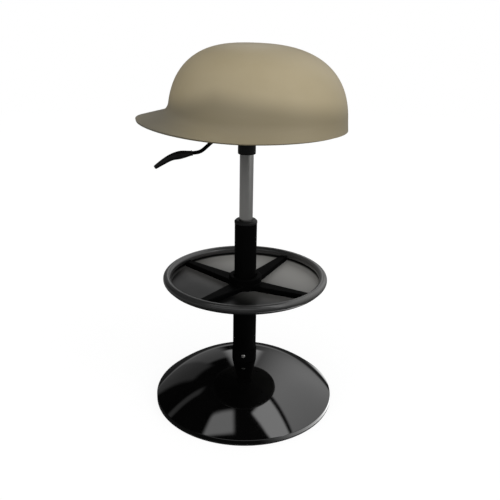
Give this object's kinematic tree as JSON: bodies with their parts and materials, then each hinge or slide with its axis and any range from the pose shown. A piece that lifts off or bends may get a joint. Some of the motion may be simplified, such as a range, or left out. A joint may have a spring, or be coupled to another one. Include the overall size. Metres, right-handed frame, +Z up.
{
  "type": "bar stool",
  "caption": "Swivelling gas-lift bar stool with a domed disc base, ring footrest on tapered arms, and a cap-shaped moulded seat with a brim and a release lever.",
  "frame": {"origin": "on the floor, on the column's axis, at the middle of the base's under face", "axes": "+Z up along the column; the seat's brim points to -X and the release lever runs out to -X, ten degrees towards -Y"},
  "size_m": [0.4455, 0.422, 0.8187],
  "materials": {
    "gloss_black": "gloss",
    "satin_black": "satin",
    "gloss_black_ring": "gloss",
    "satin_black_casting": "satin",
    "black_plastic": "matte",
    "black_rubber": "matte",
    "cast_iron": "matte",
    "lift_steel": "satin",
    "bright_steel": "polished",
    "zinc_plate": "satin",
    "bearing_bronze": "satin",
    "plywood": "matte",
    "foam_liner": "matte",
    "beige_shell": "satin"
  },
  "bodies": {
    "stand": {"base_dome": "gloss_black", "base_weight": "cast_iron", "floor_cover": "black_plastic", "floor_ring": "black_rubber", "base_collar": "satin_black", "base_collar_screw": "zinc_plate", "column_tube": "satin_black", "column_flange": "satin_black", "flange_bolt_1": "zinc_plate", "flange_bolt_2": "zinc_plate", "flange_bolt_3": "zinc_plate", "flange_bolt_4": "zinc_plate", "footrest_sleeve": "satin_black", "guide_bush": "black_plastic", "footrest_spider": "satin_black_casting", "footrest_ring": "gloss_black_ring", "footrest_plate": "gloss_black", "footrest_screw_1": "satin_black", "footrest_screw_2": "satin_black", "footrest_screw_3": "satin_black", "footrest_screw_4": "satin_black", "hub_grub_screw": "zinc_plate", "bearing_race_lower": "bright_steel"},
    "lift_rod": {"piston_rod": "bright_steel", "piston": "bearing_bronze", "bearing_cage": "bearing_bronze", "bearing_race_upper": "bright_steel", "rod_clip": "bright_steel"},
    "seat": {"gas_cylinder": "lift_steel", "cylinder_gland": "black_plastic", "seat_socket": "satin_black", "seat_carrier": "satin_black", "lever_saddle": "satin_black", "lever_pin": "zinc_plate", "seat_board": "plywood", "seat_liner": "foam_liner", "seat_shell": "beige_shell", "seat_bolt_1": "zinc_plate", "seat_bolt_2": "zinc_plate", "seat_bolt_3": "zinc_plate", "seat_bolt_4": "zinc_plate", "tee_nut_1": "zinc_plate", "tee_nut_2": "zinc_plate", "tee_nut_3": "zinc_plate", "tee_nut_4": "zinc_plate"},
    "lever": {"lever_rod": "satin_black", "lever_grip": "black_plastic"},
    "valve": {"release_button": "bright_steel"}
  },
  "joints": [
    {"name": "seat_swivel", "type": "hinge", "parent": "stand", "child": "lift_rod", "pos_m": [0, 0, 0.02], "axis": [0, 0, 1], "continuous": true},
    {"name": "seat_lift", "type": "slide", "parent": "lift_rod", "child": "seat", "axis": [0, 0, 1], "range_m": [-0.14, 0]},
    {"name": "release_lever", "type": "hinge", "parent": "seat", "child": "lever", "pos_m": [-0.03939, -0.00695, 0.6391], "axis": [-0.1736, 0.9848, 0], "range_deg": [0, 6], "stiffness_Nm_per_rad": 3, "springref_deg": -5.73},
    {"name": "valve_travel", "type": "slide", "parent": "seat", "child": "valve", "axis": [0, 0, 1], "range_m": [-0.0046, 0]}
  ],
  "couplings": [
    {"joint": "valve_travel", "follows": "release_lever", "m_per_rad": -0.042}
  ]
}
